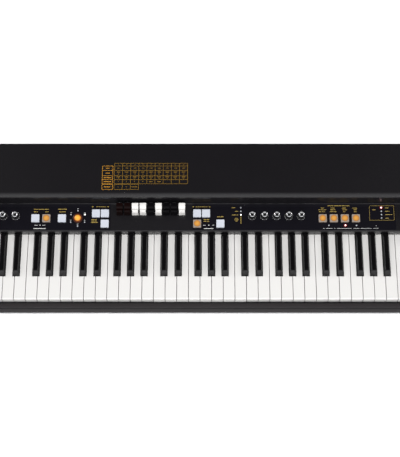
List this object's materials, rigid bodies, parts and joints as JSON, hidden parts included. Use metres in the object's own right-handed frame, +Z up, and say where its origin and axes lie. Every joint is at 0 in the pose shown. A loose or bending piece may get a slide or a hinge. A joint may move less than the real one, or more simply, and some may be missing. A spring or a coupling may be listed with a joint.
{
  "type": "combo organ",
  "caption": "Black portable drawbar organ with a waterfall keyboard, a sloping panel of drawbars, knobs and lit buttons, a flat rear deck and rear sockets.",
  "frame": {"origin": "on the floor, under the middle of the case", "axes": "+X along the keyboard towards the high notes, +Y away from the player, +Z up"},
  "size_m": [0.89, 0.3308, 0.1195],
  "materials": {
    "black_sheet": "satin black powder coat",
    "grey_rail": "satin dark grey",
    "black_wood": "painted satin black",
    "chassis": "plain folded sheet",
    "board": "green circuit board",
    "black_plastic": "moulded black",
    "white_key": "moulded white, polished",
    "black_key": "moulded black, satin",
    "white_plastic": "milky white cap",
    "amber_plastic": "milky cap with an amber lamp",
    "knob_plastic": "black with a spun metal cap",
    "brown_drawbar": "dark brown cap",
    "white_drawbar": "white cap",
    "black_drawbar": "black cap"
  },
  "bodies": {
    "case": {"top_cover": "black_sheet", "bottom_pan": "black_sheet", "front_rail": "grey_rail", "cheek_left": "black_wood", "cheek_right": "black_wood", "rear_panel": "black_sheet", "key_frame": "chassis", "panel_board": "board", "main_board": "board", "jack_board": "board", "drawbar_guide": "black_plastic", "white_keys_lower": "white_key", "white_keys_upper": "white_key", "black_keys_lower": "black_key", "black_keys_upper": "black_key"},
    "white_key_c4": {"white_key_c4": "white_key"},
    "black_key_c_sharp4": {"black_key_c_sharp4": "black_key"},
    "white_key_d4": {"white_key_d4": "white_key"},
    "black_key_d_sharp4": {"black_key_d_sharp4": "black_key"},
    "white_key_e4": {"white_key_e4": "white_key"},
    "white_key_f4": {"white_key_f4": "white_key"},
    "black_key_f_sharp4": {"black_key_f_sharp4": "black_key"},
    "white_key_g4": {"white_key_g4": "white_key"},
    "black_key_g_sharp4": {"black_key_g_sharp4": "black_key"},
    "white_key_a4": {"white_key_a4": "white_key"},
    "black_key_a_sharp4": {"black_key_a_sharp4": "black_key"},
    "white_key_b4": {"white_key_b4": "white_key"},
    "white_key_c5": {"white_key_c5": "white_key"},
    "effect_button_1": {"effect_button_1": "white_plastic"},
    "effect_button_2": {"effect_button_2": "amber_plastic"},
    "effect_button_3": {"effect_button_3": "white_plastic"},
    "lower_preset_button_1": {"lower_preset_button_1": "white_plastic"},
    "lower_preset_button_2": {"lower_preset_button_2": "white_plastic"},
    "lower_preset_button_3": {"lower_preset_button_3": "white_plastic"},
    "upper_preset_button_1": {"upper_preset_button_1": "white_plastic"},
    "upper_preset_button_2": {"upper_preset_button_2": "white_plastic"},
    "upper_preset_button_3": {"upper_preset_button_3": "amber_plastic"},
    "split_button": {"split_button": "white_plastic"},
    "voice_button_1": {"voice_button_1": "amber_plastic"},
    "voice_button_2": {"voice_button_2": "amber_plastic"},
    "voice_button_3": {"voice_button_3": "amber_plastic"},
    "voice_button_4": {"voice_button_4": "amber_plastic"},
    "vibrato_selector": {"vibrato_selector": "amber_plastic"},
    "effect_knob_1": {"effect_knob_1": "knob_plastic"},
    "effect_knob_2": {"effect_knob_2": "knob_plastic"},
    "tone_knob_1": {"tone_knob_1": "knob_plastic"},
    "tone_knob_2": {"tone_knob_2": "knob_plastic"},
    "tone_knob_3": {"tone_knob_3": "knob_plastic"},
    "tone_knob_4": {"tone_knob_4": "knob_plastic"},
    "tone_knob_5": {"tone_knob_5": "knob_plastic"},
    "drawbar_1": {"drawbar_1": "brown_drawbar"},
    "drawbar_2": {"drawbar_2": "brown_drawbar"},
    "drawbar_3": {"drawbar_3": "white_drawbar"},
    "drawbar_4": {"drawbar_4": "white_drawbar"},
    "drawbar_5": {"drawbar_5": "black_drawbar"},
    "drawbar_6": {"drawbar_6": "white_drawbar"},
    "drawbar_7": {"drawbar_7": "black_drawbar"},
    "drawbar_8": {"drawbar_8": "black_drawbar"},
    "drawbar_9": {"drawbar_9": "white_drawbar"},
    "power_switch": {"power_switch": "black_plastic"}
  },
  "joints": [
    {"name": "white_key_c4_press", "type": "hinge", "parent": "case", "child": "white_key_c4", "pos_m": [-0.08225, 0.051, 0.044], "axis": [1, 0, 0], "range_deg": [0, 2.81], "stiffness_Nm_per_rad": 0.5, "springref_deg": -14.9},
    {"name": "black_key_c_sharp4_press", "type": "hinge", "parent": "case", "child": "black_key_c_sharp4", "pos_m": [-0.0732, 0.051, 0.044], "axis": [1, 0, 0], "range_deg": [0, 2.98], "stiffness_Nm_per_rad": 0.5, "springref_deg": -11.46},
    {"name": "white_key_d4_press", "type": "hinge", "parent": "case", "child": "white_key_d4", "pos_m": [-0.05875, 0.051, 0.044], "axis": [1, 0, 0], "range_deg": [0, 2.81], "stiffness_Nm_per_rad": 0.5, "springref_deg": -14.9},
    {"name": "black_key_d_sharp4_press", "type": "hinge", "parent": "case", "child": "black_key_d_sharp4", "pos_m": [-0.0443, 0.051, 0.044], "axis": [1, 0, 0], "range_deg": [0, 2.98], "stiffness_Nm_per_rad": 0.5, "springref_deg": -11.46},
    {"name": "white_key_e4_press", "type": "hinge", "parent": "case", "child": "white_key_e4", "pos_m": [-0.03525, 0.051, 0.044], "axis": [1, 0, 0], "range_deg": [0, 2.81], "stiffness_Nm_per_rad": 0.5, "springref_deg": -14.9},
    {"name": "white_key_f4_press", "type": "hinge", "parent": "case", "child": "white_key_f4", "pos_m": [-0.01175, 0.051, 0.044], "axis": [1, 0, 0], "range_deg": [0, 2.81], "stiffness_Nm_per_rad": 0.5, "springref_deg": -14.9},
    {"name": "black_key_f_sharp4_press", "type": "hinge", "parent": "case", "child": "black_key_f_sharp4", "pos_m": [-0.0039, 0.051, 0.044], "axis": [1, 0, 0], "range_deg": [0, 2.98], "stiffness_Nm_per_rad": 0.5, "springref_deg": -11.46},
    {"name": "white_key_g4_press", "type": "hinge", "parent": "case", "child": "white_key_g4", "pos_m": [0.01175, 0.051, 0.044], "axis": [1, 0, 0], "range_deg": [0, 2.81], "stiffness_Nm_per_rad": 0.5, "springref_deg": -14.9},
    {"name": "black_key_g_sharp4_press", "type": "hinge", "parent": "case", "child": "black_key_g_sharp4", "pos_m": [0.0235, 0.051, 0.044], "axis": [1, 0, 0], "range_deg": [0, 2.98], "stiffness_Nm_per_rad": 0.5, "springref_deg": -11.46},
    {"name": "white_key_a4_press", "type": "hinge", "parent": "case", "child": "white_key_a4", "pos_m": [0.03525, 0.051, 0.044], "axis": [1, 0, 0], "range_deg": [0, 2.81], "stiffness_Nm_per_rad": 0.5, "springref_deg": -14.9},
    {"name": "black_key_a_sharp4_press", "type": "hinge", "parent": "case", "child": "black_key_a_sharp4", "pos_m": [0.0509, 0.051, 0.044], "axis": [1, 0, 0], "range_deg": [0, 2.98], "stiffness_Nm_per_rad": 0.5, "springref_deg": -11.46},
    {"name": "white_key_b4_press", "type": "hinge", "parent": "case", "child": "white_key_b4", "pos_m": [0.05875, 0.051, 0.044], "axis": [1, 0, 0], "range_deg": [0, 2.81], "stiffness_Nm_per_rad": 0.5, "springref_deg": -14.9},
    {"name": "white_key_c5_press", "type": "hinge", "parent": "case", "child": "white_key_c5", "pos_m": [0.08225, 0.051, 0.044], "axis": [1, 0, 0], "range_deg": [0, 2.81], "stiffness_Nm_per_rad": 0.5, "springref_deg": -14.9},
    {"name": "effect_button_1_press", "type": "slide", "parent": "case", "child": "effect_button_1", "axis": [0, 0.0872, -0.9962], "range_m": [0, 0.002], "stiffness_N_per_m": 200, "springref_m": -0.004},
    {"name": "effect_button_2_press", "type": "slide", "parent": "case", "child": "effect_button_2", "axis": [0, 0.0872, -0.9962], "range_m": [0, 0.002], "stiffness_N_per_m": 200, "springref_m": -0.004},
    {"name": "effect_button_3_press", "type": "slide", "parent": "case", "child": "effect_button_3", "axis": [0, 0.0872, -0.9962], "range_m": [0, 0.002], "stiffness_N_per_m": 200, "springref_m": -0.004},
    {"name": "lower_preset_button_1_press", "type": "slide", "parent": "case", "child": "lower_preset_button_1", "axis": [0, 0.0872, -0.9962], "range_m": [0, 0.002], "stiffness_N_per_m": 200, "springref_m": -0.004},
    {"name": "lower_preset_button_2_press", "type": "slide", "parent": "case", "child": "lower_preset_button_2", "axis": [0, 0.0872, -0.9962], "range_m": [0, 0.002], "stiffness_N_per_m": 200, "springref_m": -0.004},
    {"name": "lower_preset_button_3_press", "type": "slide", "parent": "case", "child": "lower_preset_button_3", "axis": [0, 0.0872, -0.9962], "range_m": [0, 0.002], "stiffness_N_per_m": 200, "springref_m": -0.004},
    {"name": "upper_preset_button_1_press", "type": "slide", "parent": "case", "child": "upper_preset_button_1", "axis": [0, 0.0872, -0.9962], "range_m": [0, 0.002], "stiffness_N_per_m": 200, "springref_m": -0.004},
    {"name": "upper_preset_button_2_press", "type": "slide", "parent": "case", "child": "upper_preset_button_2", "axis": [0, 0.0872, -0.9962], "range_m": [0, 0.002], "stiffness_N_per_m": 200, "springref_m": -0.004},
    {"name": "upper_preset_button_3_press", "type": "slide", "parent": "case", "child": "upper_preset_button_3", "axis": [0, 0.0872, -0.9962], "range_m": [0, 0.002], "stiffness_N_per_m": 200, "springref_m": -0.004},
    {"name": "split_button_press", "type": "slide", "parent": "case", "child": "split_button", "axis": [0, 0.0872, -0.9962], "range_m": [0, 0.002], "stiffness_N_per_m": 200, "springref_m": -0.004},
    {"name": "voice_button_1_press", "type": "slide", "parent": "case", "child": "voice_button_1", "axis": [0, 0.0872, -0.9962], "range_m": [0, 0.002], "stiffness_N_per_m": 200, "springref_m": -0.004},
    {"name": "voice_button_2_press", "type": "slide", "parent": "case", "child": "voice_button_2", "axis": [0, 0.0872, -0.9962], "range_m": [0, 0.002], "stiffness_N_per_m": 200, "springref_m": -0.004},
    {"name": "voice_button_3_press", "type": "slide", "parent": "case", "child": "voice_button_3", "axis": [0, 0.0872, -0.9962], "range_m": [0, 0.002], "stiffness_N_per_m": 200, "springref_m": -0.004},
    {"name": "voice_button_4_press", "type": "slide", "parent": "case", "child": "voice_button_4", "axis": [0, 0.0872, -0.9962], "range_m": [0, 0.002], "stiffness_N_per_m": 200, "springref_m": -0.004},
    {"name": "vibrato_selector_press", "type": "slide", "parent": "case", "child": "vibrato_selector", "axis": [0, 0.0872, -0.9962], "range_m": [0, 0.002], "stiffness_N_per_m": 200, "springref_m": -0.004},
    {"name": "effect_knob_1_turn", "type": "hinge", "parent": "case", "child": "effect_knob_1", "pos_m": [-0.402, 0.01718, 0.08105], "axis": [0, -0.0872, 0.9962], "range_deg": [-150, 150]},
    {"name": "effect_knob_2_turn", "type": "hinge", "parent": "case", "child": "effect_knob_2", "pos_m": [-0.377, 0.01718, 0.08105], "axis": [0, -0.0872, 0.9962], "range_deg": [-150, 150]},
    {"name": "tone_knob_1_turn", "type": "hinge", "parent": "case", "child": "tone_knob_1", "pos_m": [0.1066, 0.01718, 0.08105], "axis": [0, -0.0872, 0.9962], "range_deg": [-150, 150]},
    {"name": "tone_knob_2_turn", "type": "hinge", "parent": "case", "child": "tone_knob_2", "pos_m": [0.1316, 0.01718, 0.08105], "axis": [0, -0.0872, 0.9962], "range_deg": [-150, 150]},
    {"name": "tone_knob_3_turn", "type": "hinge", "parent": "case", "child": "tone_knob_3", "pos_m": [0.1566, 0.01718, 0.08105], "axis": [0, -0.0872, 0.9962], "range_deg": [-150, 150]},
    {"name": "tone_knob_4_turn", "type": "hinge", "parent": "case", "child": "tone_knob_4", "pos_m": [0.1816, 0.01718, 0.08105], "axis": [0, -0.0872, 0.9962], "range_deg": [-150, 150]},
    {"name": "tone_knob_5_turn", "type": "hinge", "parent": "case", "child": "tone_knob_5", "pos_m": [0.2066, 0.01718, 0.08105], "axis": [0, -0.0872, 0.9962], "range_deg": [-150, 150]},
    {"name": "drawbar_1_slide", "type": "slide", "parent": "case", "child": "drawbar_1", "axis": [0, -0.9962, -0.0872], "range_m": [0, 0.028]},
    {"name": "drawbar_2_slide", "type": "slide", "parent": "case", "child": "drawbar_2", "axis": [0, -0.9962, -0.0872], "range_m": [0, 0.028]},
    {"name": "drawbar_3_slide", "type": "slide", "parent": "case", "child": "drawbar_3", "axis": [0, -0.9962, -0.0872], "range_m": [0, 0.028]},
    {"name": "drawbar_4_slide", "type": "slide", "parent": "case", "child": "drawbar_4", "axis": [0, -0.9962, -0.0872], "range_m": [0, 0.028]},
    {"name": "drawbar_5_slide", "type": "slide", "parent": "case", "child": "drawbar_5", "axis": [0, -0.9962, -0.0872], "range_m": [0, 0.028]},
    {"name": "drawbar_6_slide", "type": "slide", "parent": "case", "child": "drawbar_6", "axis": [0, -0.9962, -0.0872], "range_m": [0, 0.028]},
    {"name": "drawbar_7_slide", "type": "slide", "parent": "case", "child": "drawbar_7", "axis": [0, -0.9962, -0.0872], "range_m": [0, 0.028]},
    {"name": "drawbar_8_slide", "type": "slide", "parent": "case", "child": "drawbar_8", "axis": [0, -0.9962, -0.0872], "range_m": [0, 0.028]},
    {"name": "drawbar_9_slide", "type": "slide", "parent": "case", "child": "drawbar_9", "axis": [0, -0.9962, -0.0872], "range_m": [0, 0.028]},
    {"name": "power_switch_rock", "type": "hinge", "parent": "case", "child": "power_switch", "pos_m": [-0.376, 0.1608, 0.052], "axis": [1, 0, 0], "range_deg": [0, 16]}
  ]
}
